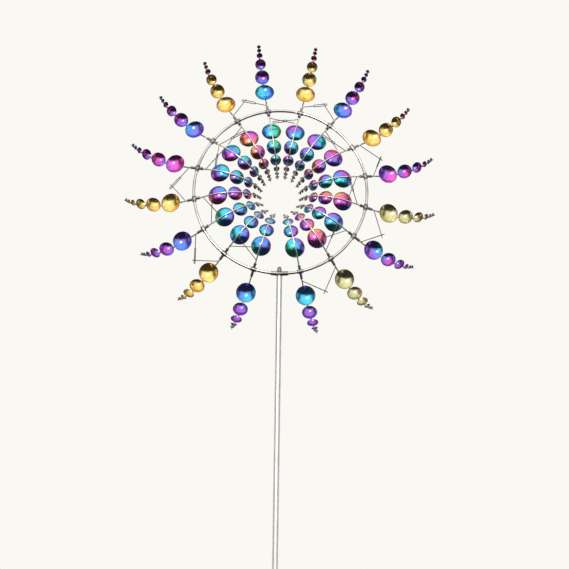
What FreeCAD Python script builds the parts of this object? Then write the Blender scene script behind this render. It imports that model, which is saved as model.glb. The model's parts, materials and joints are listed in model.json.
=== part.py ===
import FreeCAD, Part
import math
import os

# Kinetic wind spinner on a garden stake: sixteen S-shaped arms of wind bowls ride on a steel hoop.
# Millimetres. Z is up, the front of the spinner faces -Y, and X is to the right seen from the front.
# The origin is on the pole's axis at ground level: the spike is below it.

# Hoop and the joint at its foot
HOOP_RADIUS = 174.0
HOOP_ROD_R = 3.0
HOOP_END_GAP = 5.4
SLEEVE_R = 4.5
SLEEVE_LENGTH = 34.0
SLEEVE_FLAT = 4.2

# Pole, from the ground up
POLE_HEIGHT = 1010.0
POLE_R = 6.0
POLE_BORE_R = 5.0
JOINT_HEIGHT = 430.0
JOINT_COLLAR = 1.5
PLUG_LENGTH = 30.0
SPIKE_R = 5.0
SPIKE_LENGTH = 170.0
SPIKE_POINT = 30.0
SPIKE_COLLAR_R = 9.0
SPIKE_COLLAR = 3.0

# Swivel under the hoop
BUSH_FLANGE = 2.0
BUSH_DEPTH = 16.0
BUSH_BORE_R = 2.56
BOLT_R = 2.5
BOLT_HEAD_WIDTH = 8.0
BOLT_HEAD = 3.5
BOLT_END_PLAY = 0.3
WASHER = 1.0
WASHER_R = 5.5
WASHER_BORE_R = 2.6
CAP_NUT_WIDTH = 8.0
CAP_NUT_HEX = 5.0
CAP_NUT_DOME_R = 3.8
CAP_NUT_HEIGHT = 10.0
CAP_NUT_BORE = 7.0

# Arms: the gap at the foot of the hoop is 1.4 steps wide and leaves room for the pole.
# The whole set of arms sits a little clockwise of the hoop's foot, seen from the front.
ARM_COUNT = 16
FOOT_GAP_STEPS = 1.4
ARM_SET_TURN = math.radians(1.7)
ARM_ROD_R = 1.5
ROD_SLOPE = math.radians(23.0)
ROD_STRAIGHT = 36.0
ROD_BEND_R = 77.0
ROD_START = 5.0
ROD_PAST_LAST_BOWL = 2.5

# Bowls, from the hub to the tip: rim radius, and the place of the bowl's apex along the rod
BOWL_RIM_R = [19.5, 14.8, 11.0, 6.1, 4.3, 4.0]
BOWL_AT = [49.0, 88.8, 118.2, 137.8, 150.0, 160.0]
BOWL_HALF_ANGLE = math.radians(47.0)
BOWL_WALL = [0.8, 0.8, 0.8, 0.7, 0.6, 0.6]
BOWL_SEAT = 0.35

# Hub of an arm: a sleeve that turns on the hoop, with a socket for each half of the arm
HUB_R = 4.6
HUB_LENGTH = 8.0
HUB_BORE_R = 3.12
SOCKET_R = 2.75
OUTER_SOCKET = 15.0
INNER_SOCKET = 10.0
LOCK_NUT_WIDTH = 6.0
LOCK_NUT = 2.6
COLLAR_R = 4.3
COLLAR_WIDTH = 2.0
COLLAR_PLAY = 0.3
COLLAR_BORE_R = 3.01
EDGE = 0.4

# Coupling wires: a straight finger on one arm runs through a long wire loop on its neighbour.
# They lean sideways from the rod, and a little to the back so that they pass behind the neighbour's bowls.
WIRE_R = 0.8
WIRE_AT = 19.0
WIRE_TILT = math.radians(54.0)
WIRE_BACK_LEAN = math.radians(9.0)
FINGER_LENGTH = 58.5
LOOP_NEAR = 30.0
LOOP_FAR = 56.5
LOOP_HALF_GAP = 2.5
# (arm with the finger, arm with the loop, half of the arm that both sit on)
WIRE_PAIRS = [
    (16, 1, "outer"),
    (1, 2, "inner"),
    (3, 2, "outer"),
    (3, 4, "inner"),
    (4, 5, "outer"),
    (5, 6, "inner"),
    (6, 7, "outer"),
    (7, 8, "inner"),
    (8, 9, "outer"),
    (10, 11, "inner"),
    (11, 12, "outer"),
    (12, 13, "inner"),
    (13, 14, "outer"),
    (14, 15, "inner"),
    (16, 15, "inner"),
]

ARM_STEP = 2.0 * math.pi / (ARM_COUNT - 1 + FOOT_GAP_STEPS)
SLEEVE_FOOT = POLE_HEIGHT + WASHER
HOOP_FOOT = SLEEVE_FOOT + SLEEVE_FLAT
HOOP_CENTRE = FreeCAD.Vector(0.0, 0.0, HOOP_FOOT + HOOP_RADIUS)
X_AXIS = FreeCAD.Vector(1.0, 0.0, 0.0)
Y_AXIS = FreeCAD.Vector(0.0, 1.0, 0.0)
Z_AXIS = FreeCAD.Vector(0.0, 0.0, 1.0)
ORIGIN = FreeCAD.Vector(0.0, 0.0, 0.0)


def save(name, shape):
    shape.exportStep("parts/" + name + ".step")


def disc(radius, centre, normal):
    """A flat round face."""
    return Part.Face(Part.Wire(Part.makeCircle(radius, centre, normal)))


def rod_between(start, end, radius):
    """A straight round bar."""
    run = end - start
    return Part.makeCylinder(radius, run.Length, start, run)


def ring(outer_r, bore_r, length, base, axis):
    """A plain tube or washer, with its outer edges broken."""
    body = Part.makeCylinder(outer_r, length, base, axis)
    rims = [edge for edge in body.Edges if edge.Curve.TypeId == "Part::GeomCircle"]
    body = body.makeChamfer(EDGE, rims)
    return body.cut(Part.makeCylinder(bore_r, length + 2.0, base - axis, axis))


def hexagon(width, height, base, axis):
    """A hexagonal prism, width measured across its flats."""
    corner_r = width / math.sqrt(3.0)
    corners = [
        FreeCAD.Vector(corner_r * math.cos(k * math.pi / 3.0), corner_r * math.sin(k * math.pi / 3.0), 0.0)
        for k in range(7)
    ]
    prism = Part.Face(Part.makePolygon(corners)).extrude(Z_AXIS * height)
    crown = Part.makeCone(corner_r + height - EDGE, corner_r - EDGE, height)
    prism = prism.common(crown)
    prism.Placement = FreeCAD.Placement(base, FreeCAD.Rotation(Z_AXIS, axis))
    return prism


# ---------------------------------------------------------------- pole and spike


def ground_spike():
    """Pointed spike with the collar that stops at the ground and the plug that holds the pole."""
    spike = Part.makeCylinder(SPIKE_R, SPIKE_LENGTH, FreeCAD.Vector(0.0, 0.0, -SPIKE_LENGTH), Z_AXIS)
    tip = FreeCAD.Vector(0.0, 0.0, -SPIKE_LENGTH - SPIKE_POINT)
    point = Part.makeCone(EDGE, SPIKE_R, SPIKE_POINT, tip, Z_AXIS)
    collar = Part.makeCylinder(SPIKE_COLLAR_R, SPIKE_COLLAR)
    collar = collar.makeChamfer(EDGE, [collar.Edges[0]])
    plug = Part.makeCylinder(POLE_BORE_R, SPIKE_COLLAR + PLUG_LENGTH)
    return spike.fuse([point, collar, plug]).removeSplitter()


def pole_tube(bottom, top):
    height = top - bottom
    base = FreeCAD.Vector(0.0, 0.0, bottom)
    outside = Part.makeCylinder(POLE_R, height, base, Z_AXIS)
    return outside.cut(Part.makeCylinder(POLE_BORE_R, height, base, Z_AXIS))


def pole_joint():
    """Plug that joins the two pole tubes, with a thin collar flush with them."""
    base = FreeCAD.Vector(0.0, 0.0, JOINT_HEIGHT - PLUG_LENGTH)
    plug = Part.makeCylinder(POLE_BORE_R, 2.0 * PLUG_LENGTH + JOINT_COLLAR, base, Z_AXIS)
    collar = Part.makeCylinder(POLE_R, JOINT_COLLAR, FreeCAD.Vector(0.0, 0.0, JOINT_HEIGHT), Z_AXIS)
    return plug.fuse(collar).removeSplitter()


# ---------------------------------------------------------------- swivel and hoop


def top_bush():
    """Flanged bush in the top of the pole: the swivel bolt turns in it."""
    body_foot = POLE_HEIGHT - BUSH_FLANGE - BUSH_DEPTH
    body = Part.makeCylinder(POLE_BORE_R, BUSH_DEPTH + BUSH_FLANGE, FreeCAD.Vector(0.0, 0.0, body_foot), Z_AXIS)
    flange_foot = FreeCAD.Vector(0.0, 0.0, POLE_HEIGHT - BUSH_FLANGE)
    flange = Part.makeCylinder(POLE_R, BUSH_FLANGE, flange_foot, Z_AXIS)
    top_edge = [edge for edge in flange.Edges if abs(edge.CenterOfMass.z - POLE_HEIGHT) < 0.01]
    flange = flange.makeChamfer(EDGE, top_edge)
    bore = Part.makeCylinder(BUSH_BORE_R, BUSH_DEPTH + BUSH_FLANGE, FreeCAD.Vector(0.0, 0.0, body_foot), Z_AXIS)
    return body.fuse(flange).cut(bore).removeSplitter()


def swivel_bolt():
    """Bolt that hangs in the bush by its head and carries the hoop."""
    head_top = POLE_HEIGHT - BUSH_FLANGE - BUSH_DEPTH - BOLT_END_PLAY
    head = hexagon(BOLT_HEAD_WIDTH, BOLT_HEAD, FreeCAD.Vector(0.0, 0.0, head_top - BOLT_HEAD), Z_AXIS)
    shank_top = HOOP_FOOT + SLEEVE_FLAT + CAP_NUT_BORE
    shank = Part.makeCylinder(BOLT_R, shank_top - head_top, FreeCAD.Vector(0.0, 0.0, head_top), Z_AXIS)
    return head.fuse(shank)


def thrust_washer():
    return ring(WASHER_R, WASHER_BORE_R, WASHER, FreeCAD.Vector(0.0, 0.0, POLE_HEIGHT), Z_AXIS)


def hoop_arc(radius, half_gap, sweep):
    """A round section swept along the hoop's centre line, starting half_gap clockwise of its foot."""
    start = FreeCAD.Vector(-HOOP_RADIUS * math.sin(half_gap), 0.0, -HOOP_RADIUS * math.cos(half_gap))
    tangent = FreeCAD.Vector(-math.cos(half_gap), 0.0, math.sin(half_gap))
    section = disc(radius, HOOP_CENTRE + start, tangent)
    return section.revolve(HOOP_CENTRE, Y_AXIS, math.degrees(sweep))


def hoop_ring():
    """The hoop: one bar bent round until its ends almost meet at the foot."""
    half_gap = math.asin(0.5 * HOOP_END_GAP / HOOP_RADIUS)
    return hoop_arc(HOOP_ROD_R, half_gap, 2.0 * (math.pi - half_gap))


def hoop_sleeve():
    """Bent tube that holds both ends of the hoop, with flats for the washer and the nut."""
    half = 0.5 * SLEEVE_LENGTH / HOOP_RADIUS
    tube = hoop_arc(SLEEVE_R, -half, 2.0 * half)
    bore = hoop_arc(HOOP_ROD_R, -1.2 * half, 2.4 * half)
    side = 2.0 * SLEEVE_R
    flat = 1.2 * WASHER_R
    below = Part.makeBox(2.0 * flat, side, SLEEVE_R, FreeCAD.Vector(-flat, -SLEEVE_R, SLEEVE_FOOT - SLEEVE_R))
    seat_z = HOOP_FOOT + SLEEVE_FLAT
    above = Part.makeBox(2.0 * flat, side, SLEEVE_R, FreeCAD.Vector(-flat, -SLEEVE_R, seat_z))
    hole = Part.makeCylinder(BOLT_R, 4.0 * SLEEVE_R, FreeCAD.Vector(0.0, 0.0, HOOP_FOOT - side), Z_AXIS)
    return tube.cut(bore).cut(below).cut(above).cut(hole)


def cap_nut():
    """Domed nut on top of the sleeve."""
    seat = FreeCAD.Vector(0.0, 0.0, HOOP_FOOT + SLEEVE_FLAT)
    body = hexagon(CAP_NUT_WIDTH, CAP_NUT_HEX, seat, Z_AXIS)
    dome_centre = seat + Z_AXIS * (CAP_NUT_HEIGHT - CAP_NUT_DOME_R)
    dome = Part.makeCylinder(CAP_NUT_DOME_R, dome_centre.z - seat.z - EDGE, seat + Z_AXIS * EDGE, Z_AXIS)
    dome = dome.fuse(Part.makeSphere(CAP_NUT_DOME_R, dome_centre))
    bore = Part.makeCylinder(BOLT_R, CAP_NUT_BORE, seat, Z_AXIS)
    return body.fuse(dome).cut(bore)


def arm_angle(arm):
    """Clockwise angle from the top of the hoop, seen from the front; arm 2 is the first to the right."""
    steps = arm - 1.5 if arm < 10 else arm - 1.5 - ARM_COUNT
    return steps * ARM_STEP + ARM_SET_TURN


def hoop_frame(angle):
    """Placement of a piece on the hoop: its X points outwards, Y to the back and Z along the hoop."""
    outward = FreeCAD.Vector(math.sin(angle), 0.0, math.cos(angle))
    along = outward.cross(Y_AXIS)
    turn = FreeCAD.Rotation(outward, Y_AXIS, along, "ZXY")
    return FreeCAD.Placement(HOOP_CENTRE + outward * HOOP_RADIUS, turn)


def stop_collars():
    """A pair of collars beside each hub keeps the arm at its place on the hoop."""
    offset = (0.5 * HUB_LENGTH + COLLAR_PLAY + 0.5 * COLLAR_WIDTH) / HOOP_RADIUS
    collars = []
    for arm in range(1, ARM_COUNT + 1):
        for side in (-offset, offset):
            collar = ring(COLLAR_R, COLLAR_BORE_R, COLLAR_WIDTH, Z_AXIS * (-0.5 * COLLAR_WIDTH), Z_AXIS)
            collar.Placement = hoop_frame(arm_angle(arm) + side)
            collars.append(collar)
    return Part.makeCompound(collars)


# ---------------------------------------------------------------- arms, in the hub's own axes


def slope_direction(angle):
    """Unit vector in the arm's plane, at an angle from outwards towards the back."""
    return FreeCAD.Vector(math.cos(angle), math.sin(angle), 0.0)


def bend_centre():
    """Centre of the arm's bend, on its front side."""
    bend_start = slope_direction(ROD_SLOPE) * ROD_STRAIGHT
    return bend_start + slope_direction(ROD_SLOPE - 0.5 * math.pi) * ROD_BEND_R


def rod_place(distance):
    """Point on the rod's centre line and the rod's slope there, at a distance from the hub."""
    if distance <= ROD_STRAIGHT:
        return slope_direction(ROD_SLOPE) * distance, ROD_SLOPE
    slope = ROD_SLOPE - (distance - ROD_STRAIGHT) / ROD_BEND_R
    return bend_centre() + slope_direction(slope + 0.5 * math.pi) * ROD_BEND_R, slope


def bowl(rim_r, wall):
    """A wind bowl with its apex at the origin, open towards +Z."""
    outer_r = rim_r / math.sin(BOWL_HALF_ANGLE)
    inner_r = outer_r - wall
    depth = outer_r * (1.0 - math.cos(BOWL_HALF_ANGLE))
    inner_rim_r = math.sqrt(inner_r ** 2 - (outer_r - depth) ** 2)

    def on_sphere(radius, angle):
        return FreeCAD.Vector(radius * math.sin(angle), 0.0, outer_r - radius * math.cos(angle))

    half = 0.5 * BOWL_HALF_ANGLE
    apex = FreeCAD.Vector(0.0, 0.0, 0.0)
    floor = FreeCAD.Vector(0.0, 0.0, wall)
    rim = FreeCAD.Vector(rim_r, 0.0, depth)
    inner_rim = FreeCAD.Vector(inner_rim_r, 0.0, depth)
    inner_half = 0.5 * math.asin(inner_rim_r / inner_r)
    outline = [
        Part.Arc(apex, on_sphere(outer_r, half), rim).toShape(),
        Part.LineSegment(rim, inner_rim).toShape(),
        Part.Arc(inner_rim, on_sphere(inner_r, inner_half), floor).toShape(),
        Part.LineSegment(floor, apex).toShape(),
    ]
    return Part.Face(Part.Wire(outline)).revolve(ORIGIN, Z_AXIS, 360.0)


def outer_bowls():
    """The six bowls of the outer half, sunk a little into the front of the rod."""
    bowls = []
    for rim_r, wall, distance in zip(BOWL_RIM_R, BOWL_WALL, BOWL_AT):
        point, slope = rod_place(distance)
        facing = slope_direction(slope - 0.5 * math.pi)
        piece = bowl(rim_r, wall)
        seat = point + facing * (ARM_ROD_R - BOWL_SEAT)
        piece.Placement = FreeCAD.Placement(seat, FreeCAD.Rotation(Z_AXIS, facing))
        bowls.append(piece)
    return bowls


def half_turn(shape):
    """The same shape on the other half of the arm, turned about the hoop; a wire keeps its side along it."""
    turned = shape.copy()
    turned.rotate(ORIGIN, Z_AXIS, 180.0)
    return turned


def outer_rod(bowls):
    """Outer half of the rod: straight out of its socket, then bent forward, with a seat for each bowl."""
    start, slope = rod_place(ROD_START)
    bend, slope = rod_place(ROD_STRAIGHT)
    straight = rod_between(start, bend, ARM_ROD_R)
    bend_angle = (BOWL_AT[-1] + ROD_PAST_LAST_BOWL - ROD_STRAIGHT) / ROD_BEND_R
    section = disc(ARM_ROD_R, bend, slope_direction(slope))
    curve = section.revolve(bend_centre(), Z_AXIS * -1.0, math.degrees(bend_angle))
    return straight.fuse(curve).removeSplitter().cut(bowls)


def wire_line(side):
    """Where a coupling wire leaves the outer rod, its direction towards +Z or -Z (side 1 or -1), and
    the direction square to it in which the rails of a loop lie apart."""
    root = slope_direction(ROD_SLOPE) * WIRE_AT
    sideways = slope_direction(ROD_SLOPE) * math.cos(WIRE_TILT) + Z_AXIS * (side * math.sin(WIRE_TILT))
    backwards = slope_direction(ROD_SLOPE + 0.5 * math.pi)
    lean = sideways * math.cos(WIRE_BACK_LEAN) + backwards * math.sin(WIRE_BACK_LEAN)
    apart = backwards * math.cos(WIRE_BACK_LEAN) - sideways * math.sin(WIRE_BACK_LEAN)
    return root, lean, apart


def finger(side):
    """Straight coupling wire."""
    root, lean, apart = wire_line(side)
    return rod_between(root, root + lean * FINGER_LENGTH, WIRE_R)


def wire_loop(side):
    """Coupling wire with a long closed loop at its end, on the same line as a finger."""
    root, lean, apart = wire_line(side)
    hinge_line = lean.cross(apart)
    apart = apart * LOOP_HALF_GAP
    near = root + lean * LOOP_NEAR
    far = root + lean * LOOP_FAR
    stem = rod_between(root, near - lean * LOOP_HALF_GAP, WIRE_R)
    rails = [rod_between(near + apart, far + apart, WIRE_R), rod_between(near - apart, far - apart, WIRE_R)]
    near_bend = disc(WIRE_R, near + apart, lean).revolve(near, hinge_line, 180.0)
    far_bend = disc(WIRE_R, far - apart, lean).revolve(far, hinge_line, 180.0)
    return stem.fuse(rails + [near_bend, far_bend]).removeSplitter()


def arm_wires(arm):
    """The coupling wires that one arm carries, as (half, shape) pairs."""
    wires = []
    for finger_arm, loop_arm, half in WIRE_PAIRS:
        if arm not in (finger_arm, loop_arm):
            continue
        neighbour = loop_arm if arm == finger_arm else finger_arm
        clockwise = math.sin(arm_angle(neighbour) - arm_angle(arm)) > 0.0
        side = -1.0 if clockwise else 1.0
        wires.append((half, finger(side) if arm == finger_arm else wire_loop(side)))
    return wires


def hub():
    """Bearing sleeve with a long outer socket and a short inner one, and the nut that locks the inner rod."""
    sleeve = Part.makeCylinder(HUB_R, HUB_LENGTH, Z_AXIS * (-0.5 * HUB_LENGTH), Z_AXIS)
    ends = [edge for edge in sleeve.Edges if edge.Curve.TypeId == "Part::GeomCircle"]
    sleeve = sleeve.makeChamfer(EDGE, ends)
    outward = slope_direction(ROD_SLOPE)
    sockets = [
        Part.makeCylinder(SOCKET_R, OUTER_SOCKET, ORIGIN, outward),
        Part.makeCylinder(SOCKET_R, INNER_SOCKET, ORIGIN, outward * -1.0),
    ]
    bore = Part.makeCylinder(HUB_BORE_R, HUB_LENGTH, Z_AXIS * (-0.5 * HUB_LENGTH), Z_AXIS)
    rod_holes = [
        Part.makeCylinder(ARM_ROD_R, OUTER_SOCKET, outward * ROD_START, outward),
        Part.makeCylinder(ARM_ROD_R, INNER_SOCKET, outward * -ROD_START, outward * -1.0),
    ]
    fitting = sleeve.fuse(sockets).removeSplitter().cut([bore] + rod_holes)
    nut_seat = outward * -INNER_SOCKET
    nut = hexagon(LOCK_NUT_WIDTH, LOCK_NUT, nut_seat, outward * -1.0)
    nut = nut.cut(Part.makeCylinder(ARM_ROD_R, LOCK_NUT, nut_seat, outward * -1.0))
    return Part.makeCompound([fitting, nut])


def placed(shape, placement):
    moved = shape.copy()
    moved.Placement = placement
    return moved


def save_arms():
    bowls = outer_bowls()
    outer_half = outer_rod(bowls)
    inner_half = half_turn(outer_half)
    all_bowls = Part.makeCompound(bowls + [half_turn(piece) for piece in bowls])
    fitting = hub()
    for arm in range(1, ARM_COUNT + 1):
        halves = {"outer": outer_half, "inner": inner_half}
        for half, wire in arm_wires(arm):
            wire = wire if half == "outer" else half_turn(wire)
            halves[half] = halves[half].fuse(wire).removeSplitter()
        name = "arm_%02d" % arm
        place = hoop_frame(arm_angle(arm))
        save(name + "_hub", placed(fitting, place))
        save(name + "_rods", placed(Part.makeCompound([halves["outer"], halves["inner"]]), place))
        save(name + "_bowls", placed(all_bowls, place))


os.makedirs("parts", exist_ok=True)
save("ground_spike", ground_spike())
save("pole_lower", pole_tube(SPIKE_COLLAR, JOINT_HEIGHT))
save("pole_joint", pole_joint())
save("pole_upper", pole_tube(JOINT_HEIGHT + JOINT_COLLAR, POLE_HEIGHT - BUSH_FLANGE))
save("top_bush", top_bush())
save("swivel_bolt", swivel_bolt())
save("thrust_washer", thrust_washer())
save("hoop_sleeve", hoop_sleeve())
save("cap_nut", cap_nut())
save("hoop_ring", hoop_ring())
save("stop_collars", stop_collars())
save_arms()
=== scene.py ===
import bpy, bmesh, json, math, random
from mathutils import Matrix, Vector, noise as value_noise


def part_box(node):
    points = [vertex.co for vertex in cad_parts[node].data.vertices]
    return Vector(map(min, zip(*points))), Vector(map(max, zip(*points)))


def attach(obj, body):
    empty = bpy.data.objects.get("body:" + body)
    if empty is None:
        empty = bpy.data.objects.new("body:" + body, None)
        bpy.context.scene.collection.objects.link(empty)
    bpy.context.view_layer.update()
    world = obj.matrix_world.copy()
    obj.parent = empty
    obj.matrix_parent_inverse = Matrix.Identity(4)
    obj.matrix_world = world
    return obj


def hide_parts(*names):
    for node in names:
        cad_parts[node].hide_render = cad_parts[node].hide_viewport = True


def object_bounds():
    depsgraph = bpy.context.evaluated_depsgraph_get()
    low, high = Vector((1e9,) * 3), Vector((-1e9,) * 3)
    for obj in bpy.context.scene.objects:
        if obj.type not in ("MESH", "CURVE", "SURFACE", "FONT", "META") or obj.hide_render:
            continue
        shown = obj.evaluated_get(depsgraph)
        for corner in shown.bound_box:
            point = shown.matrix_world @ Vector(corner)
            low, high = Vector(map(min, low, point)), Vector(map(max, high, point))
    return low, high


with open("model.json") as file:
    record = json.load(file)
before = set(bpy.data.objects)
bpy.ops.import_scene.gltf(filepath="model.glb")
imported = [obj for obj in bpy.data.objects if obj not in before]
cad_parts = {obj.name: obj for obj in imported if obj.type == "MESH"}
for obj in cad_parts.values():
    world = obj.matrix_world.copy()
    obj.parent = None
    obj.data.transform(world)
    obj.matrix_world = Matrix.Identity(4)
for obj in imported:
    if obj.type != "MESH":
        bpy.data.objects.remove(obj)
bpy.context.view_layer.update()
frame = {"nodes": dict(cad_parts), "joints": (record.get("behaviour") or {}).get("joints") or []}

MM = 0.001
ARMS = range(1, 17)

# Bowls, from the hub to the tip, as in the CAD: rim radius, place along the rod, sheet thickness
BOWL_RIM_R = [19.5 * MM, 14.8 * MM, 11.0 * MM, 6.1 * MM, 4.3 * MM, 4.0 * MM]
BOWL_AT = [49.0 * MM, 88.8 * MM, 118.2 * MM, 137.8 * MM, 150.0 * MM, 160.0 * MM]
BOWL_WALL = [0.8 * MM, 0.8 * MM, 0.8 * MM, 0.7 * MM, 0.6 * MM, 0.6 * MM]
BOWL_HALF_ANGLE = math.radians(47.0)
BOWL_SEAT = 0.35 * MM
# A row of a bowl's mesh with a smaller radius is one vertex, in the middle
APEX_R = 1e-7
# Bowls with a rim radius over BIG_BOWL, the first three of each half, have the finer mesh
BIG_BOWL = 8.0 * MM
BIG_BOWL_COUNT = 3
BIG_RINGS = 16
SMALL_RINGS = 8
BIG_SEGMENTS = 72
SMALL_SEGMENTS = 32

# Arm rod, as in the CAD
ARM_ROD_R = 1.5 * MM
ROD_SLOPE = math.radians(23.0)
ROD_START = 5.0 * MM
ROD_STRAIGHT = 36.0 * MM
ROD_BEND_R = 77.0 * MM
ROD_END = BOWL_AT[-1] + 2.5 * MM
ROD_STEP = 2.0 * MM
ROD_SEGMENTS = 20
# How the ends of rods and wires are rounded off: (how far past the line, how thick there), in radii
ROUNDED_END = [(0.35, 0.85), (0.6, 0.45)]
# A tube runs along Z if the cross product of their unit vectors is shorter than this
PARALLEL = 1e-3

# Coupling wires, as in the CAD
WIRE_R = 0.8 * MM
WIRE_AT = 19.0 * MM
WIRE_TILT = math.radians(54.0)
WIRE_BACK_LEAN = math.radians(9.0)
FINGER_LENGTH = 58.5 * MM
LOOP_NEAR = 30.0 * MM
LOOP_FAR = 56.5 * MM
LOOP_HALF_GAP = 2.5 * MM
LOOP_TURN_STEPS = 8
WIRE_STEPS = 12
WIRE_SEGMENTS = 12
# (arm with the finger, arm with the loop, half of the arm that both sit on)
WIRE_PAIRS = [
    (16, 1, "outer"), (1, 2, "inner"), (3, 2, "outer"), (3, 4, "inner"), (4, 5, "outer"),
    (5, 6, "inner"), (6, 7, "outer"), (7, 8, "inner"), (8, 9, "outer"), (10, 11, "inner"),
    (11, 12, "outer"), (12, 13, "inner"), (13, 14, "outer"), (14, 15, "inner"), (16, 15, "inner"),
]

# Weld beads: half their length, width and height, and where they sit; bowls' beads grow with the bowl
BOWL_BEAD = (1.9 * MM, 0.75 * MM, 0.75 * MM)
BOWL_BEAD_ASIDE = 1.25 * MM
BOWL_BEAD_DOWN = 0.15 * MM
ROOT_BEAD = (1.9 * MM, 1.25 * MM, 1.25 * MM)
ROOT_BEAD_AT = 1.6 * MM
LOOP_BEAD = (1.5 * MM, 1.15 * MM, 1.15 * MM)
BEAD_LEAST = 0.75
BEAD_GROWTH = 0.35
LUMP_HEIGHT = 0.16
LUMP_SCALE = 2.1
# Sets the lumps of each bead apart from those of the others
LUMP_SHIFT = 700.0
# No wire or rod runs this way, so it gives a direction across each bead
ODD_DIRECTION = Vector((0.31, 0.87, 0.38))

# Lacquer: one scale of film colours, from 0 to 1
FILM_SCALE = [
    (0.00, (0.64, 0.61, 0.24)),
    (0.07, (0.86, 0.63, 0.17)),
    (0.14, (0.88, 0.42, 0.12)),
    (0.23, (0.84, 0.20, 0.20)),
    (0.33, (0.82, 0.13, 0.46)),
    (0.43, (0.52, 0.11, 0.62)),
    (0.53, (0.27, 0.16, 0.70)),
    (0.63, (0.09, 0.25, 0.76)),
    (0.74, (0.08, 0.55, 0.80)),
    (0.84, (0.06, 0.58, 0.52)),
    (0.93, (0.08, 0.58, 0.28)),
    (1.00, (0.30, 0.62, 0.20)),
]
GOLD_ARMS = (2, 4, 6, 8, 11, 13, 16)
# Place on the film scale in the hollows: at the left, at the right, and added from the middle to the top
HOLLOW_FILM = {
    1: (0.80, 0.60, -0.02), 3: (0.76, 0.48, -0.02), 5: (0.58, 0.32, 0.12), 7: (0.42, 0.68, 0.08),
    9: (0.68, 0.74, -0.06), 10: (0.60, 0.70, -0.08), 12: (0.60, 0.54, -0.08), 14: (0.46, 0.26, -0.03),
    15: (0.68, 0.47, 0.04),
}
# The second and third bowls draw towards violet, by these shares, and get redder towards the arm's tip
VIOLET = 0.42
VIOLET_SHARE = [0.0, 0.72, 0.92]
TIP_DRIFT = -0.14
# The fourth bowl's hollow where it isn't gold, and what each smaller bowl adds to its left and right
FOURTH_LEFT = 0.48
FOURTH_RIGHT = 0.42
FOURTH_TOP = -0.05
SMALLER_ADDS = 0.14
# Hollows of gold arms, and of small bowls on some of them: left, right, top, and added towards the tip
GOLD_FILM = (0.05, 0.08, 0.02, 0.0)
PALE_GOLD_FILM = (0.0, 0.01, 0.0, 0.0)
BROWN_FILM = (0.24, 0.36, 0.0, 0.0)
BROWN_TIPS = (2, 4, 16)
# Arms of pale gold, with the grey that is mixed in
PALE_GOLD = {6: 0.25, 8: 0.35}
# Place on the film scale of the backs, at the anticlockwise and the clockwise side of the rod
BACK_FILM = {
    1: (0.64, 0.90), 2: (0.48, 0.70), 3: (0.50, 0.84), 4: (0.30, 0.60), 5: (0.42, 0.80), 6: (0.17, 0.52),
    7: (0.50, 0.87), 8: (0.29, 0.40), 9: (0.54, 0.91), 10: (0.56, 0.80), 11: (0.52, 0.78), 12: (0.64, 0.86),
    13: (0.30, 0.62), 14: (0.50, 0.87), 15: (0.40, 0.78), 16: (0.20, 0.44),
}
# Chance differences between backs: a shift of the whole bowl, and a drift along the rod
FIRST_SEED = 100
BACK_SHIFT = 0.08
BACK_TILT = (0.06, 0.16)
# How much of the lacquer's cloudy drift each side shows
BACK_DRIFT = 1.0
HOLLOW_DRIFT = 0.4
GOLD_DRIFT = 0.2
# How bright and how grey the bowls are, from the hub to the tip
HOLLOW_VALUE = [1.06, 0.92, 0.78, 0.55, 0.55, 0.60]
BACK_VALUE = [1.08, 0.98, 0.88, 0.75, 0.70, 0.65]
HOLLOW_GREY = [0.0, 0.0, 0.0, 0.10, 0.15, 0.15]
BACK_GREY = [0.0, 0.05, 0.20, 0.70, 0.80, 0.80]

# Steels: dark colour, light colour, roughness, scale and stretch of the drawn lines, metallic share
EVEN = (1.0, 1.0, 1.0)
STEELS = {
    "rod_steel": ((0.62, 0.50, 0.40), (0.95, 0.92, 0.86), 0.05, 500.0, EVEN, 1.0),
    "wire_steel": ((0.10, 0.11, 0.10), (0.20, 0.21, 0.20), 0.35, 600.0, EVEN, 1.0),
    "weld_steel": ((0.16, 0.13, 0.12), (0.40, 0.34, 0.28), 0.45, 900.0, EVEN, 1.0),
    "hoop_steel": ((0.52, 0.51, 0.48), (0.84, 0.83, 0.80), 0.06, 260.0, EVEN, 1.0),
    "hub_steel": ((0.20, 0.18, 0.16), (0.46, 0.44, 0.41), 0.16, 500.0, EVEN, 1.0),
    "pole_steel": ((0.70, 0.70, 0.69), (0.84, 0.84, 0.83), 0.26, 600.0, (1.0, 1.0, 0.02), 0.85),
    "spike_steel": ((0.24, 0.20, 0.16), (0.60, 0.58, 0.55), 0.46, 300.0, (1.0, 1.0, 0.3), 0.80),
    "bush_brass": ((0.34, 0.25, 0.14), (0.50, 0.38, 0.21), 0.40, 400.0, (1.0, 1.0, 0.2), 1.0),
    "nut_steel": ((0.08, 0.07, 0.065), (0.26, 0.24, 0.22), 0.22, 500.0, EVEN, 1.0),
}
# Steels of the CAD nodes that stay; the others get OTHER_STEEL
NODE_STEEL = {
    "pole_lower": "pole_steel",
    "pole_joint": "pole_steel",
    "pole_upper": "pole_steel",
    "ground_spike": "spike_steel",
    "top_bush": "bush_brass",
    "hoop_ring": "hoop_steel",
    "cap_nut": "nut_steel",
}
OTHER_STEEL = "hub_steel"

# Scales of the patterns on the steel and the bowls, per metre; drops are (scale, size)
SCRATCH_PATCH_SCALE = 45.0
DROP_PATCH_SCALE = 60.0
HANDLING_SCALE = 22.0
SPECK_SCALE = 420.0
STEEL_DROPS = (420.0, 0.25)
STEEL_SCRATCH_STRETCH = (12.0, 12.0, 1.0)
STEEL_SCRATCH_SCALE = 45.0
CLOUD_SCALE = 38.0
BLOTCH_SCALE = 95.0
BOWL_DROPS = (150.0, 0.32)
# (stretch, scale) of the two directions of scratches on the bowls
BOWL_SCRATCHES = [((16.0, 2.0, 1.0), 32.0), ((1.5, 3.0, 14.0), 30.0)]
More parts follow.
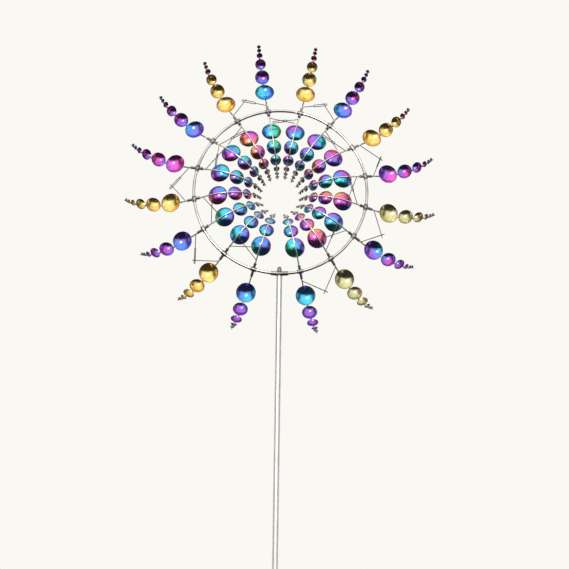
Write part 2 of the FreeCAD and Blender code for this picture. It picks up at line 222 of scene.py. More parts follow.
# Spinning marks: streaks out from the middle, and rings round it
STREAK_SCALE = 9.0
RING_PHASE = 160.0
# How far the clouds and the blotches move the hue along the film scale
CLOUD_DRIFT = 0.44
BLOTCH_DRIFT = 0.16

# Tints of wear and dirt
BARE_METAL = (0.50, 0.48, 0.45, 1.0)
DULL_SPECK = (0.16, 0.12, 0.09, 1.0)
TIP_GREY = (0.52, 0.52, 0.50, 1.0)
DROP_TINT = (0.60, 0.60, 0.58, 1.0)
SCRATCH_TINT = (0.70, 0.70, 0.68, 1.0)

# Stage
FLOOR_R = 12.0
FLOOR_SEGMENTS = 96
FLOOR_GAP = 0.001
FLOOR_DARK = (0.74, 0.73, 0.70)
FLOOR_LIGHT = (0.76, 0.75, 0.72)
STUDIO_COLOUR = (1.0, 0.985, 0.96, 1.0)
BACKDROP_COLOUR = (0.955, 0.938, 0.893, 1.0)
# How brightly reflections see the ground, and what the back adds to that all the way down
GROUND_GLOW = 0.04
ALL_BACK_GLOW = 0.16
# What is added above the ground: everywhere, in front, behind and at the sides
SKY_GLOW = 0.12
FRONT_GLOW = 1.20
BACK_GLOW = 0.75
SIDE_GLOW = 0.55
# Where those parts fade in, as (start, end) of the direction's Y, Z, or distance from the middle in X
FRONT_EDGE = (0.05, -0.15)
GROUND_EDGE = (-0.34, -0.16)
MIDDLE_EDGE = (0.88, 0.6)
BACK_EDGE = (0.30, 0.60)
SIDE_EDGE = (0.93, 0.98)
# Unevenness of the front
ROOM_SCALE = 2.3
ROOM_EDGE = (0.34, 0.56)
ROOM_UNEVEN = 0.45
# Lights: the softbox's offset from the hoop's centre, and the sun's turns about X and Y
SOFTBOX_OFFSET = Vector((-0.5, -2.6, 0.3))
SOFTBOX_SIZE = 0.9
SOFTBOX_WATTS = 16.0
SUN_TURNS = (math.radians(24.0), math.radians(-14.0), 0.0)
SUN_ANGLE = math.radians(18.0)
SUN_STRENGTH = 0.9

# Camera: eye and aim as offsets from the hoop's centre, in metres
EYE = Vector((-0.036, -2.424, -0.916))
AIM = Vector((0.0105, 0.0, -0.1964))
CAMERA_ROLL = math.radians(0.78)
FIELD_OF_VIEW = math.radians(24.95)
CLIP_END = 100.0


# ---------------------------------------------------------------- shader helpers


class Shader:
    """A node material under construction."""

    def __init__(self, name):
        self.material = bpy.data.materials.new(name)
        self.material.use_nodes = True
        self.tree = self.material.node_tree
        self.surface = next(node for node in self.tree.nodes if node.type == "BSDF_PRINCIPLED")
        self.place = self.node("ShaderNodeTexCoord").outputs["Object"]

    def node(self, kind, **settings):
        made = self.tree.nodes.new(kind)
        for key, value in settings.items():
            setattr(made, key, value)
        return made

    def feed(self, socket, value):
        if isinstance(value, bpy.types.NodeSocket):
            self.tree.links.new(value, socket)
        else:
            socket.default_value = value

    def math(self, operation, *values):
        made = self.node("ShaderNodeMath", operation=operation)
        for socket, value in zip(made.inputs, values):
            self.feed(socket, value)
        return made.outputs[0]

    def attribute(self, name, output="Fac"):
        return self.node("ShaderNodeAttribute", attribute_name=name).outputs[output]

    def noise(self, vector, scale, detail=2.0, roughness=0.5):
        made = self.node("ShaderNodeTexNoise")
        self.feed(made.inputs["Vector"], vector)
        self.feed(made.inputs["Scale"], scale)
        self.feed(made.inputs["Detail"], detail)
        self.feed(made.inputs["Roughness"], roughness)
        return made.outputs["Fac"]

    def stretched(self, vector, scale):
        made = self.node("ShaderNodeMapping")
        self.feed(made.inputs["Vector"], vector)
        self.feed(made.inputs["Scale"], scale)
        return made.outputs["Vector"]

    def ramp(self, factor, stops):
        """A colour ramp with the given (position, colour) stops."""
        made = self.node("ShaderNodeValToRGB")
        elements = made.color_ramp.elements
        while len(elements) < len(stops):
            elements.new(0.5)
        for element, (position, colour) in zip(elements, stops):
            element.position = position
            element.color = (*colour, 1.0)
        self.feed(made.inputs["Fac"], factor)
        return made.outputs["Color"]

    def step(self, value, low, high, start=0.0, end=1.0):
        """Smooth step from start to end while the value goes from low to high."""
        made = self.node("ShaderNodeMapRange", interpolation_type="SMOOTHSTEP")
        self.feed(made.inputs["Value"], value)
        for socket, setting in zip(("From Min", "From Max", "To Min", "To Max"), (low, high, start, end)):
            self.feed(made.inputs[socket], setting)
        return made.outputs["Result"]

    def scratches(self, vector, scale):
        """Thin lines in patches: 1 on a line and 0 beside it."""
        away = self.math("ABSOLUTE", self.math("SUBTRACT", self.noise(vector, scale, 0.0), 0.5))
        patches = self.step(self.noise(self.place, SCRATCH_PATCH_SCALE, 1.0), 0.48, 0.60)
        return self.math("MULTIPLY", self.step(away, 0.002, 0.012, 1.0, 0.0), patches)

    def water_spots(self, scale, size):
        """Dried drops in patches: 1 in a drop and 0 beside it."""
        made = self.node("ShaderNodeTexVoronoi")
        self.feed(made.inputs["Vector"], self.place)
        self.feed(made.inputs["Scale"], scale)
        patches = self.step(self.noise(self.place, DROP_PATCH_SCALE, 1.0), 0.46, 0.56)
        drops = self.step(made.outputs["Distance"], 0.7 * size, size, 1.0, 0.0)
        return self.math("MULTIPLY", drops, patches)

    def mix(self, factor, first, second):
        made = self.node("ShaderNodeMix", data_type="RGBA")
        self.feed(made.inputs["Factor"], factor)
        self.feed(made.inputs["A"], first)
        self.feed(made.inputs["B"], second)
        return made.outputs["Result"]

    def scaled(self, colour, value):
        made = self.node("ShaderNodeVectorMath", operation="SCALE")
        self.feed(made.inputs[0], colour)
        self.feed(made.inputs["Scale"], value)
        return made.outputs["Vector"]

    def bump(self, height, strength, distance):
        made = self.node("ShaderNodeBump")
        self.feed(made.inputs["Height"], height)
        self.feed(made.inputs["Strength"], strength)
        self.feed(made.inputs["Distance"], distance)
        self.feed(self.surface.inputs["Normal"], made.outputs["Normal"])

    def finish(self, colour, roughness, metallic):
        self.feed(self.surface.inputs["Base Color"], colour)
        self.feed(self.surface.inputs["Roughness"], roughness)
        self.feed(self.surface.inputs["Metallic"], metallic)
        return self.material


# ---------------------------------------------------------------- materials


def polished_steel(name):
    """Bright metal: drawn lines, cloudy handling marks, dull specks, dried drops and scratches."""
    dark, light, roughness, grain, grain_stretch, metallic = STEELS[name]
    shader = Shader(name)
    lines = shader.noise(shader.stretched(shader.place, grain_stretch), grain, 3.0, 0.6)
    cloud = shader.noise(shader.place, HANDLING_SCALE, 4.0)
    specks = shader.step(shader.noise(shader.place, SPECK_SCALE, 1.0), 0.66, 0.76)
    middle = tuple(0.5 * (a + b) for a, b in zip(dark, light))
    colour = shader.ramp(cloud, [(0.32, dark), (0.5, middle), (0.68, light)])
    colour = shader.mix(shader.math("MULTIPLY", specks, 0.35), colour, DULL_SPECK)
    stretched = shader.stretched(shader.place, STEEL_SCRATCH_STRETCH)
    scratches = shader.scratches(stretched, STEEL_SCRATCH_SCALE)
    gloss = shader.math("MULTIPLY_ADD", lines, roughness, 0.5 * roughness)
    gloss = shader.math("MULTIPLY_ADD", specks, 0.25, gloss)
    gloss = shader.math("MULTIPLY_ADD", shader.water_spots(*STEEL_DROPS), 0.10, gloss)
    gloss = shader.math("MULTIPLY_ADD", scratches, 0.20, gloss)
    shader.bump(lines, 0.05, 0.0002)
    return shader.finish(colour, gloss, metallic)


def film_lacquer(name, rim_shift, painted_edge_shade, painted_rim_shade):
    """Coloured film on spun sheet metal, with streaks, rings, dried drops, scratches and a worn rim.

    The hue shifts by rim_shift towards the rim. painted_edge_shade and painted_rim_shade are painted shade:
    they darken the colour towards the edge and at the lip, a dark outline round each bowl.
    """
    shader = Shader(name)
    film = shader.attribute("bowl_film")
    radial = shader.attribute("bowl_radial")
    value = shader.attribute("bowl_value")
    grey = shader.attribute("bowl_grey")
    spot = shader.attribute("bowl_place", "Vector")
    cloud = shader.noise(shader.place, CLOUD_SCALE, 2.0)
    blotch = shader.noise(shader.place, BLOTCH_SCALE, 3.0)
    flat = shader.node("ShaderNodeVectorMath", operation="MULTIPLY")
    shader.feed(flat.inputs[0], spot)
    shader.feed(flat.inputs[1], (1.0, 1.0, 0.0))
    outwards = shader.node("ShaderNodeVectorMath", operation="NORMALIZE")
    shader.feed(outwards.inputs[0], flat.outputs["Vector"])
    streaks = shader.noise(outwards.outputs["Vector"], STREAK_SCALE, 4.0, 0.65)
    rings = shader.math("SINE", shader.math("MULTIPLY", radial, RING_PHASE))
    edge = shader.step(radial, 0.78, 0.98)
    drift = shader.math("MULTIPLY_ADD", cloud, CLOUD_DRIFT, -0.5 * CLOUD_DRIFT)
    centred = shader.math("ADD", drift, -0.5 * BLOTCH_DRIFT)
    drift = shader.math("MULTIPLY_ADD", blotch, BLOTCH_DRIFT, centred)
    drift = shader.math("MULTIPLY_ADD", edge, rim_shift, drift)
    drift = shader.math("MULTIPLY", drift, shader.attribute("bowl_drift"))
    colour = shader.ramp(shader.math("ADD", film, drift), FILM_SCALE)
    colour = shader.mix(grey, colour, TIP_GREY)
    spots = shader.water_spots(*BOWL_DROPS)
    colour = shader.mix(shader.math("MULTIPLY", spots, 0.16), colour, DROP_TINT)
    both = []
    for stretch, scale in BOWL_SCRATCHES:
        both.append(shader.scratches(shader.stretched(shader.place, stretch), scale))
    scratches = shader.math("MAXIMUM", *both)
    colour = shader.mix(shader.math("MULTIPLY", scratches, 0.22), colour, SCRATCH_TINT)
    brightness_with_painted_edge_shade = shader.math("MULTIPLY_ADD", streaks, 0.30, 0.85)
    brightness_with_painted_edge_shade = shader.math("MULTIPLY", brightness_with_painted_edge_shade, value)
    # Painted shade: the colour darkens towards each bowl's edge and most at its lip, a painted dark outline
    brightness_with_painted_edge_shade = shader.math("MULTIPLY", brightness_with_painted_edge_shade, shader.step(radial, 0.82, 1.0, 1.0, painted_edge_shade))
    brightness_with_painted_edge_shade = shader.math("MULTIPLY", brightness_with_painted_edge_shade, shader.step(radial, 0.965, 0.99, 1.0, painted_rim_shade))
    gloss = shader.math("MULTIPLY_ADD", streaks, 0.14, 0.06)
    gloss = shader.math("MULTIPLY_ADD", blotch, 0.10, gloss)
    gloss = shader.math("MULTIPLY_ADD", spots, 0.16, gloss)
    gloss = shader.math("MULTIPLY_ADD", scratches, 0.20, gloss)
    worn = shader.math("MULTIPLY", shader.step(radial, 0.94, 0.985), shader.step(blotch, 0.52, 0.60))
    gloss = shader.math("MULTIPLY_ADD", worn, 0.15, gloss)
    relief = shader.math("MULTIPLY_ADD", rings, 0.35, streaks)
    shader.bump(shader.math("SUBTRACT", relief, scratches), 0.14, 0.00012)
    lacquer = shader.scaled(colour, brightness_with_painted_edge_shade)
    lacquer = shader.mix(shader.math("MULTIPLY", worn, 0.7), lacquer, BARE_METAL)
    return shader.finish(lacquer, gloss, 1.0)


def floor_paint():
    """Matt pale paint, faintly uneven."""
    shader = Shader("floor_paint")
    grain = shader.noise(shader.place, 3.0, 4.0)
    colour = shader.ramp(grain, [(0.35, FLOOR_DARK), (0.65, FLOOR_LIGHT)])
    shader.surface.inputs["Specular IOR Level"].default_value = 0.1
    return shader.finish(colour, 0.9, 0.0)


# ---------------------------------------------------------------- the arm in its own axes


def slope_direction(angle):
    """Unit vector in the arm's plane, at an angle from outwards towards the back."""
    return Vector((math.cos(angle), math.sin(angle), 0.0))


def rod_place(distance):
    """Point on the rod's centre line and the rod's slope there, at a distance from the hub."""
    if distance <= ROD_STRAIGHT:
        return slope_direction(ROD_SLOPE) * distance, ROD_SLOPE
    slope = ROD_SLOPE - (distance - ROD_STRAIGHT) / ROD_BEND_R
    bend_start = slope_direction(ROD_SLOPE) * ROD_STRAIGHT
    centre = bend_start + slope_direction(ROD_SLOPE - 0.5 * math.pi) * ROD_BEND_R
    return centre + slope_direction(slope + 0.5 * math.pi) * ROD_BEND_R, slope


def arm_joint(arm):
    """The joint that an arm turns on."""
    return next(joint for joint in frame["joints"] if joint["name"] == "arm_%02d_turn" % arm)


def hoop_frame(arm):
    """Matrix of an arm's own axes, from its joint: X outwards, Y to the back, Z along the hoop."""
    joint = arm_joint(arm)
    along = Vector(joint["axis"]).normalized()
    back = Vector((0.0, 1.0, 0.0))
    matrix = Matrix((back.cross(along), back, along)).transposed().to_4x4()
    matrix.translation = Vector(joint["pos_m"])
    return matrix


def half_matrix(arm, half):
    """An arm's own axes, turned half round the hoop for its inner half."""
    turn = 0.0 if half == "outer" else math.pi
    return hoop_frame(arm) @ Matrix.Rotation(turn, 4, "Z")


def finish_piece(builder, name, arm, node, materials):
    """Turns a bmesh into a piece of an arm that stands for one of its CAD nodes, or for a part of it."""
    bmesh.ops.recalc_face_normals(builder, faces=builder.faces)
    mesh = bpy.data.meshes.new("arm_%02d_%s" % (arm, name))
    builder.to_mesh(mesh)
    builder.free()
    piece = bpy.data.objects.new(mesh.name, mesh)
    bpy.context.scene.collection.objects.link(piece)
    for material in materials:
        mesh.materials.append(material)
    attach(piece, "arm_%02d" % arm)
    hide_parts("arm_%02d_%s" % (arm, node))


# ---------------------------------------------------------------- bowls


def bowl_profile(rim_r, wall):
    """Rows of (radius, height, radial share, side), over the back, round the rim and into the hollow."""
    outer_r = rim_r / math.sin(BOWL_HALF_ANGLE)
    inner_r = outer_r - wall
    lip_r = 0.5 * wall
    rings = BIG_RINGS if rim_r > BIG_BOWL else SMALL_RINGS
    profile = []
    for k in range(rings + 1):
        angle = BOWL_HALF_ANGLE * k / rings
        height = outer_r - outer_r * math.cos(angle)
        profile.append((outer_r * math.sin(angle), height, k / rings, "back"))
    outward = (math.sin(BOWL_HALF_ANGLE), -math.cos(BOWL_HALF_ANGLE))
    onward = (math.cos(BOWL_HALF_ANGLE), math.sin(BOWL_HALF_ANGLE))
    lip_x = (outer_r - lip_r) * outward[0]
    lip_z = outer_r + (outer_r - lip_r) * outward[1]
    for turn in (0.25 * math.pi, 0.5 * math.pi, 0.75 * math.pi):
        x = lip_x + lip_r * (math.cos(turn) * outward[0] + math.sin(turn) * onward[0])
        z = lip_z + lip_r * (math.cos(turn) * outward[1] + math.sin(turn) * onward[1])
        profile.append((x, z, 1.0, "rim"))
    for k in range(rings, -1, -1):
        angle = BOWL_HALF_ANGLE * k / rings
        height = outer_r - inner_r * math.cos(angle)
        profile.append((inner_r * math.sin(angle), height, k / rings, "hollow"))
    return profile


def back_film_at(film, sideways, lengthways):
    """Film on a bowl's back: one hue each side of the rod, and a drift along it."""
    anticlockwise, clockwise, tilt = film
    share = 0.5 - 0.5 * sideways
    share = share * share * (3.0 - 2.0 * share)
    return anticlockwise + (clockwise - anticlockwise) * share + tilt * lengthways


def hollow_film_at(film, rightwards, upwards, tipwards):
    """Film in a bowl's hollow: it drifts from left to right, to the top, and towards the arm's tip."""
    left, right, top, tip = film
    return 0.5 * (left + right) + 0.5 * (right - left) * rightwards + top * upwards + tip * tipwards


def add_bowl(builder, place, rim_r, wall, looks):
    """Adds one bowl, its apex at place's origin and its mouth towards place's Z; looks is per side.

    The hue, brightness and greyness go into attributes that the lacquer reads.
    """
    scalar = builder.verts.layers.float
    spot = builder.verts.layers.float_vector["bowl_place"]
    segments = BIG_SEGMENTS if rim_r > BIG_BOWL else SMALL_SEGMENTS
    turned = place.to_3x3()
    rows = []
    for radius, height, share, side in bowl_profile(rim_r, wall):
        film, value, grey, drift = looks["back" if side == "back" else "hollow"]
        count = segments if radius > APEX_R else 1
        row = []
        for k in range(count):
            turn = 2.0 * math.pi * k / segments
            x = radius * math.cos(turn)
            y = radius * math.sin(turn)
            aside = turned @ Vector((x, y, 0.0))
            vert = builder.verts.new(place @ Vector((x, y, height)))
            if side == "back":
                vert[scalar["bowl_film"]] = back_film_at(film, y / rim_r, x / rim_r)
            else:
                rightwards = aside.x / rim_r
                upwards = aside.z / rim_r
                vert[scalar["bowl_film"]] = hollow_film_at(film, rightwards, upwards, x / rim_r)
            vert[scalar["bowl_radial"]] = share
            vert[scalar["bowl_value"]] = value
            vert[scalar["bowl_grey"]] = grey
            vert[scalar["bowl_drift"]] = drift
            vert[spot] = Vector((x, y, height)) / rim_r
            row.append(vert)
        rows.append((row, side))
    for (lower, side_a), (upper, side_b) in zip(rows, rows[1:]):
        slot = 0 if "back" in (side_a, side_b) else 1
        for k in range(segments):
            after = (k + 1) % segments
            if len(lower) == 1:
                corners = (lower[0], upper[after], upper[k])
            elif len(upper) == 1:
                corners = (lower[k], lower[after], upper[0])
            else:
                corners = (lower[k], lower[after], upper[after], upper[k])
            face = builder.faces.new(corners)
            face.material_index = slot
            face.smooth = True


def bowl_seat(distance):
    """Matrix of a bowl in the outer half's axes: X along the rod to the tip, Z out of the bowl's mouth."""
    point, slope = rod_place(distance)
    facing = slope_direction(slope - 0.5 * math.pi)
    tangent = slope_direction(slope)
    seat = Matrix((tangent, facing.cross(tangent), facing)).transposed().to_4x4()
    seat.translation = point + facing * (ARM_ROD_R - BOWL_SEAT)
    return seat


def bowl_looks(arm, index, chance):
    """Film, brightness, greyness and unevenness of a bowl's back and hollow."""
    gold = arm in GOLD_ARMS
    small = index >= BIG_BOWL_COUNT
    shift = chance.uniform(-BACK_SHIFT, BACK_SHIFT) if index else 0.0
    tilt = chance.choice((-1.0, 1.0)) * chance.uniform(*BACK_TILT)
    back = (BACK_FILM[arm][0] + shift, BACK_FILM[arm][1] + shift, tilt)
    if gold:
        hollow = PALE_GOLD_FILM if arm in PALE_GOLD else GOLD_FILM
        if small and arm in BROWN_TIPS:
            hollow = BROWN_FILM
    elif small:
        added = SMALLER_ADDS * (index - BIG_BOWL_COUNT)
        hollow = (FOURTH_LEFT + added, FOURTH_RIGHT + added, FOURTH_TOP, 0.0)
    else:
        left, right, top = HOLLOW_FILM[arm]
        share = VIOLET_SHARE[index]
        left += (VIOLET - left) * share
        right += (VIOLET - right) * share
        hollow = (left, right, top, TIP_DRIFT if index else 0.0)
    hollow_grey = HOLLOW_GREY[index] + PALE_GOLD.get(arm, 0.0)
    return {
        "back": (back, BACK_VALUE[index], BACK_GREY[index], BACK_DRIFT),
        "hollow": (hollow, HOLLOW_VALUE[index], hollow_grey, GOLD_DRIFT if gold else HOLLOW_DRIFT),
    }


def bowls_of_arm(arm, back, hollow):
    """The twelve bowls of an arm as one object."""
    chance = random.Random(FIRST_SEED + arm)
    builder = bmesh.new()
    for layer in ("bowl_film", "bowl_radial", "bowl_value", "bowl_grey", "bowl_drift"):
        builder.verts.layers.float.new(layer)
    builder.verts.layers.float_vector.new("bowl_place")
    for half in ("outer", "inner"):
        for index, (rim_r, wall, distance) in enumerate(zip(BOWL_RIM_R, BOWL_WALL, BOWL_AT)):
            place = half_matrix(arm, half) @ bowl_seat(distance)
            add_bowl(builder, place, rim_r, wall, bowl_looks(arm, index, chance))
    finish_piece(builder, "lacquered_bowls", arm, "bowls", [back, hollow])


# ---------------------------------------------------------------- rods, wires and welds


def add_tube(builder, places, radius, segments, closed=False):
    """A round tube through places, each (point, direction, radius share); open ends get a flat cap."""
    rows = []
    for point, direction, share in places:
        side = direction.cross(Vector((0.0, 0.0, 1.0)))
        if side.length < PARALLEL:
            side = direction.cross(Vector((1.0, 0.0, 0.0)))
        side.normalize()
        up = direction.cross(side).normalized()
        row = []
        for k in range(segments):
            turn = 2.0 * math.pi * k / segments
            offset = side * math.cos(turn) + up * math.sin(turn)
            row.append(builder.verts.new(point + offset * (radius * share)))
        rows.append(row)
    if closed:
        rows.append(rows[0])
    for lower, upper in zip(rows, rows[1:]):
        for k in range(segments):
            after = (k + 1) % segments
            builder.faces.new((lower[k], lower[after], upper[after], upper[k])).smooth = True
    if not closed:
        for row in (rows[0], rows[-1]):
            builder.faces.new(row).smooth = True


def rounded_ends(points, radius):
    """Places along a line of points, with two more past each end that round it off."""
    directions = []
    for k in range(len(points)):
        before = points[max(k - 1, 0)]
        after = points[min(k + 1, len(points) - 1)]
        directions.append((after - before).normalized())
    places = [(point, direction, 1.0) for point, direction in zip(points, directions)]
    first = directions[0]
    last = directions[-1]
    head = [(points[0] - first * (past * radius), first, share) for past, share in reversed(ROUNDED_END)]
    tail = [(points[-1] + last * (past * radius), last, share) for past, share in ROUNDED_END]
    return head + places + tail


def rods_of_arm(arm, material):
    """Both halves of an arm's rod."""
    builder = bmesh.new()
    count = round((ROD_END - ROD_START) / ROD_STEP)
    for half in ("outer", "inner"):
        matrix = half_matrix(arm, half)
        points = []
        for k in range(count + 1):
            distance = ROD_START + (ROD_END - ROD_START) * k / count
            points.append(matrix @ rod_place(distance)[0])
        add_tube(builder, rounded_ends(points, ARM_ROD_R), ARM_ROD_R, ROD_SEGMENTS)
    finish_piece(builder, "rod_halves", arm, "rods", [material])


def wire_line(side):
    """A coupling wire's root on the outer rod, its direction, and the direction its loop opens in."""
    root = slope_direction(ROD_SLOPE) * WIRE_AT
    sideways = slope_direction(ROD_SLOPE) * math.cos(WIRE_TILT)
    sideways += Vector((0.0, 0.0, side * math.sin(WIRE_TILT)))
    backwards = slope_direction(ROD_SLOPE + 0.5 * math.pi)
    lean = sideways * math.cos(WIRE_BACK_LEAN) + backwards * math.sin(WIRE_BACK_LEAN)
    apart = backwards * math.cos(WIRE_BACK_LEAN) - sideways * math.sin(WIRE_BACK_LEAN)
    return root, lean, apart


def loop_points(root, lean, apart):
    """Points round the long closed loop at the end of a wire."""
    points = []
    for start, reach in ((-0.5 * math.pi, LOOP_FAR), (0.5 * math.pi, LOOP_NEAR)):
        for k in range(LOOP_TURN_STEPS + 1):
            turn = start + math.pi * k / LOOP_TURN_STEPS
            swing = lean * math.cos(turn) + apart * math.sin(turn)
            points.append(root + lean * reach + swing * LOOP_HALF_GAP)
    return points


def wire_side(arm, neighbour):
    """Which way along the arm's own Z its neighbour is."""
    matrix = hoop_frame(arm)
    away = Vector(arm_joint(neighbour)["pos_m"]) - matrix.translation
    return 1.0 if away.dot(matrix.col[2].to_3d()) > 0.0 else -1.0


def wires_of_arm(arm, material):
    """The fingers and loops of an arm; returns where they leave its rod."""
    builder = bmesh.new()
    roots = []
    for finger_arm, loop_arm, half in WIRE_PAIRS:
        if arm not in (finger_arm, loop_arm):
            continue
        neighbour = loop_arm if arm == finger_arm else finger_arm
        root, lean, apart = wire_line(wire_side(arm, neighbour))
        matrix = half_matrix(arm, half)
        turned = matrix.to_3x3()
        root = matrix @ root
        lean = turned @ lean
        apart = turned @ apart
        roots.append((root, lean))
        if arm == finger_arm:
            reach = FINGER_LENGTH
        else:
            reach = LOOP_NEAR - LOOP_HALF_GAP
            points = loop_points(root, lean, apart)
            places = []
            for k, point in enumerate(points):
                ahead = points[(k + 1) % len(points)] - points[k - 1]
                places.append((point, ahead.normalized(), 1.0))
            add_tube(builder, places, WIRE_R, WIRE_SEGMENTS, closed=True)
        line = [root + lean * (reach * k / WIRE_STEPS) for k in range(WIRE_STEPS + 1)]
        add_tube(builder, rounded_ends(line, WIRE_R), WIRE_R, WIRE_SEGMENTS)
        if arm == loop_arm:
            add_bead(builder, line[-1], lean, LOOP_BEAD)
    finish_piece(builder, "coupling_wires", arm, "rods", [material])
    return roots


def add_bead(builder, centre, direction, radii):
    """A lumpy bead of weld, longest along a direction."""
    across = direction.cross(ODD_DIRECTION).normalized()
    third = direction.cross(across).normalized()
    made = bmesh.ops.create_icosphere(builder, subdivisions=2, radius=1.0)["verts"]
    for vert in made:
        lump = 1.0 + LUMP_HEIGHT * value_noise.noise(vert.co * LUMP_SCALE + centre * LUMP_SHIFT)
        offset = vert.co * lump
        vert.co = centre + direction * (offset.x * radii[0]) + across * (offset.y * radii[1])
        vert.co += third * (offset.z * radii[2])
        for face in vert.link_faces:
            face.smooth = True


def welds_of_arm(arm, roots, material):
    """Weld beads where the bowls and the wires are joined to an arm's rod."""
    builder = bmesh.new()
    for half in ("outer", "inner"):
        for rim_r, distance in zip(BOWL_RIM_R, BOWL_AT):
            place = half_matrix(arm, half) @ bowl_seat(distance)
            turned = place.to_3x3()
            size = BEAD_LEAST + BEAD_GROWTH * (rim_r / BOWL_RIM_R[0])
            for side in (-1.0, 1.0):
                centre = place @ Vector((0.0, side * BOWL_BEAD_ASIDE * size, -BOWL_BEAD_DOWN))
                radii = tuple(radius * size for radius in BOWL_BEAD)
                add_bead(builder, centre, turned @ Vector((1.0, 0.0, 0.0)), radii)
    for root, lean in roots:
        add_bead(builder, root + lean * ROOT_BEAD_AT, lean, ROOT_BEAD)
    finish_piece(builder, "welds", arm, "rods", [material])


# ---------------------------------------------------------------- stage


def centre_of_hoop():
    """Centre of the hoop's box, where the camera and the softbox aim from."""
    low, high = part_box("hoop_ring")
    return (low + high) * 0.5


def add_camera():
    """The camera at the photograph's angle."""
    centre = centre_of_hoop()
    eye = centre + EYE
    data = bpy.data.cameras.new("camera")
    data.sensor_fit = "HORIZONTAL"
    data.angle = FIELD_OF_VIEW
    data.clip_end = CLIP_END
    camera = bpy.data.objects.new("camera", data)
    bpy.context.scene.collection.objects.link(camera)
    look = (centre + AIM - eye).to_track_quat("-Z", "Y").to_matrix().to_4x4()
    camera.matrix_world = Matrix.Translation(eye) @ look @ Matrix.Rotation(CAMERA_ROLL, 4, "Z")
    bpy.context.scene.camera = camera


def add_floor():
    """A round pale floor just below the spike's point; reflections don't see it."""
    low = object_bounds()[0]
    builder = bmesh.new()
    bmesh.ops.create_circle(builder, cap_ends=True, segments=FLOOR_SEGMENTS, radius=FLOOR_R)
    mesh = bpy.data.meshes.new("floor")
    builder.to_mesh(mesh)
    builder.free()
    mesh.materials.append(floor_paint())
    floor = bpy.data.objects.new("floor", mesh)
    bpy.context.scene.collection.objects.link(floor)
    floor.location = (0.0, 0.0, low[2] - FLOOR_GAP)
    floor.visible_glossy = False


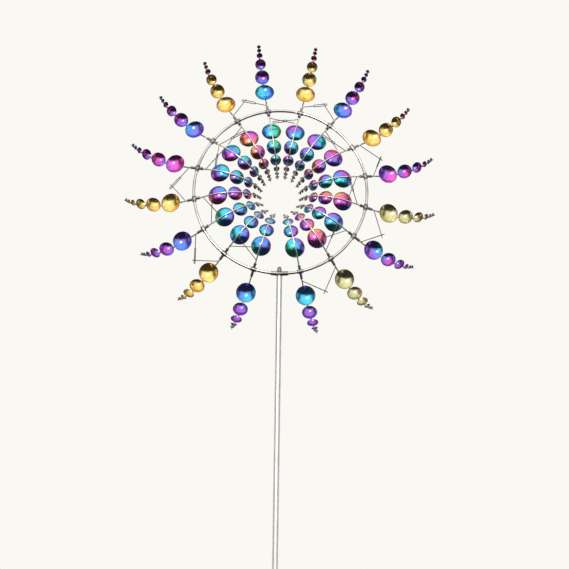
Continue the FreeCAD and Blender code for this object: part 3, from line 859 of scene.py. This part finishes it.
def add_world():
    """The studio.

    The camera and diffuse light see a plain pale backdrop. Reflections see a bright, slightly uneven
    front, a less bright back and sides, and a dark ground.
    """
    world = bpy.data.worlds.new("studio")
    bpy.context.scene.world = world
    world.use_nodes = True
    tree = world.node_tree
    tree.nodes.clear()

    def node(kind, **settings):
        made = tree.nodes.new(kind)
        for key, value in settings.items():
            setattr(made, key, value)
        return made

    def product(first, second, added=0.0):
        made = node("ShaderNodeMath", operation="MULTIPLY_ADD")
        for socket, value in zip(made.inputs, (first, second, added)):
            if isinstance(value, float):
                socket.default_value = value
            else:
                tree.links.new(value, socket)
        return made.outputs[0]

    def step(value, low, high):
        made = node("ShaderNodeMapRange", interpolation_type="SMOOTHSTEP")
        made.inputs["From Min"].default_value = low
        made.inputs["From Max"].default_value = high
        tree.links.new(value, made.inputs["Value"])
        return made.outputs["Result"]

    view = node("ShaderNodeTexCoord").outputs["Generated"]
    direction = node("ShaderNodeSeparateXYZ")
    tree.links.new(view, direction.inputs[0])
    distance = node("ShaderNodeMath", operation="ABSOLUTE")
    tree.links.new(direction.outputs["X"], distance.inputs[0])
    front = step(direction.outputs["Y"], *FRONT_EDGE)
    above = step(direction.outputs["Z"], *GROUND_EDGE)
    middle = step(distance.outputs[0], *MIDDLE_EDGE)
    glow = product(product(front, above), middle)
    room = node("ShaderNodeTexNoise")
    room.inputs["Scale"].default_value = ROOM_SCALE
    room.inputs["Detail"].default_value = 1.0
    tree.links.new(view, room.inputs["Vector"])
    uneven = step(room.outputs["Fac"], *ROOM_EDGE)
    glow = product(glow, product(uneven, ROOM_UNEVEN, 1.0 - ROOM_UNEVEN))
    back = step(direction.outputs["Y"], *BACK_EDGE)
    side = step(distance.outputs[0], *SIDE_EDGE)
    strength = product(above, SKY_GLOW, product(back, ALL_BACK_GLOW, GROUND_GLOW))
    strength = product(glow, FRONT_GLOW, strength)
    strength = product(product(back, above), BACK_GLOW, strength)
    strength = product(product(side, above), SIDE_GLOW, strength)
    studio = node("ShaderNodeBackground")
    studio.inputs["Color"].default_value = STUDIO_COLOUR
    tree.links.new(strength, studio.inputs["Strength"])
    backdrop = node("ShaderNodeBackground")
    backdrop.inputs["Color"].default_value = BACKDROP_COLOUR
    rays = node("ShaderNodeLightPath")
    plain = node("ShaderNodeMath", operation="MAXIMUM")
    tree.links.new(rays.outputs["Is Camera Ray"], plain.inputs[0])
    tree.links.new(rays.outputs["Is Diffuse Ray"], plain.inputs[1])
    chosen = node("ShaderNodeMixShader")
    tree.links.new(plain.outputs[0], chosen.inputs[0])
    tree.links.new(studio.outputs[0], chosen.inputs[1])
    tree.links.new(backdrop.outputs[0], chosen.inputs[2])
    out = node("ShaderNodeOutputWorld")
    tree.links.new(chosen.outputs[0], out.inputs[0])


def add_softbox():
    """A round softbox in front, which only reflections see."""
    data = bpy.data.lights.new("softbox_front", "AREA")
    data.shape = "DISK"
    data.size = SOFTBOX_SIZE
    data.energy = SOFTBOX_WATTS
    lamp = bpy.data.objects.new("softbox_front", data)
    bpy.context.scene.collection.objects.link(lamp)
    centre = centre_of_hoop()
    eye = centre + SOFTBOX_OFFSET
    look = (centre - eye).to_track_quat("-Z", "Y").to_matrix().to_4x4()
    lamp.matrix_world = Matrix.Translation(eye) @ look
    lamp.visible_diffuse = False


def add_sun():
    """A wide soft sun, which reflections don't see."""
    data = bpy.data.lights.new("overhead", "SUN")
    data.angle = SUN_ANGLE
    data.energy = SUN_STRENGTH
    lamp = bpy.data.objects.new("overhead", data)
    lamp.rotation_euler = SUN_TURNS
    lamp.visible_glossy = False
    bpy.context.scene.collection.objects.link(lamp)


def finish_cad_pieces(steels):
    """Better materials for the CAD nodes."""
    for name, node in frame["nodes"].items():
        for slot in node.material_slots:
            slot.material = steels[NODE_STEEL.get(name, OTHER_STEEL)]


# ---------------------------------------------------------------- the whole scene

steels = {name: polished_steel(name) for name in STEELS}
# The last two numbers of each lacquer are painted shade: how dark the bowl's edge and its lip are painted
back_film = film_lacquer("rainbow_film_back", rim_shift=-0.05, painted_edge_shade=0.50, painted_rim_shade=0.35)
hollow_film = film_lacquer("rainbow_film_hollow", rim_shift=0.14, painted_edge_shade=0.85, painted_rim_shade=0.30)
gold_film = film_lacquer("gold_film_hollow", rim_shift=0.30, painted_edge_shade=0.75, painted_rim_shade=0.30)
finish_cad_pieces(steels)
for arm in ARMS:
    bowls_of_arm(arm, back_film, gold_film if arm in GOLD_ARMS else hollow_film)
    rods_of_arm(arm, steels["rod_steel"])
    roots = wires_of_arm(arm, steels["wire_steel"])
    welds_of_arm(arm, roots, steels["weld_steel"])
add_floor()
add_world()
add_softbox()
add_sun()
add_camera()
bpy.context.scene.view_settings.view_transform = "Standard"
